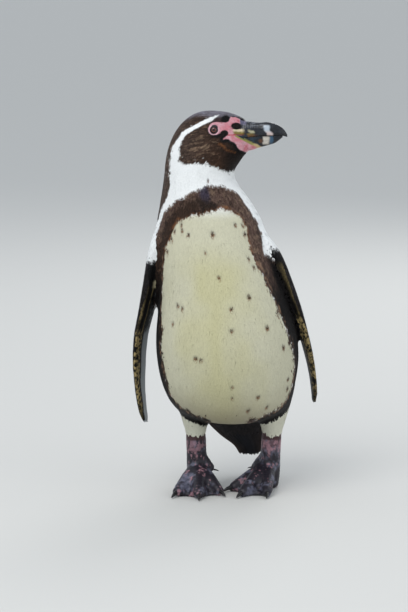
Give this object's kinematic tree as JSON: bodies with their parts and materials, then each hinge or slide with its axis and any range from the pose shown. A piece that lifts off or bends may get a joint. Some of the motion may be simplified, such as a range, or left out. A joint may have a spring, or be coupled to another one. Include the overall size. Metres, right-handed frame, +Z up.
{
  "type": "humboldt penguin",
  "caption": "Still, life-size Humboldt penguin standing on both webbed feet, head turned to its left, flippers hanging, short tail clear of the floor.",
  "frame": {"origin": "on the floor, under the middle of the whole bird's box", "axes": "+Z up from the soles to the crown; the belly faces -Y; the bird's own left, where the bill points, is +X"},
  "size_m": [0.2528, 0.1992, 0.5193],
  "materials": {
    "plumage_white": "dense cream-white feathers, matt",
    "plumage_dark": "dense black-brown feathers, matt with a faint sheen",
    "plumage_flipper": "small scale-like black feathers with a buff mottled band",
    "horn": "slate-black horn with a pale band across the bill, satin",
    "foot_skin": "scaly black skin with pink blotches",
    "eye": "wet dark eye with a red-brown iris"
  },
  "bodies": {
    "root": {"trunk": "plumage_white", "neck": "plumage_white", "thigh_right": "plumage_white", "thigh_left": "plumage_white", "head": "plumage_dark", "tail": "plumage_dark", "flipper_right": "plumage_flipper", "flipper_left": "plumage_flipper", "bill_upper": "horn", "bill_lower": "horn", "eye_right": "eye", "eye_left": "eye", "foot_right": "foot_skin", "foot_left": "foot_skin", "claw_right_outer": "horn", "claw_right_middle": "horn", "claw_right_inner": "horn", "claw_right_hallux": "horn", "claw_left_outer": "horn", "claw_left_middle": "horn", "claw_left_inner": "horn", "claw_left_hallux": "horn"}
  },
  "joints": []
}
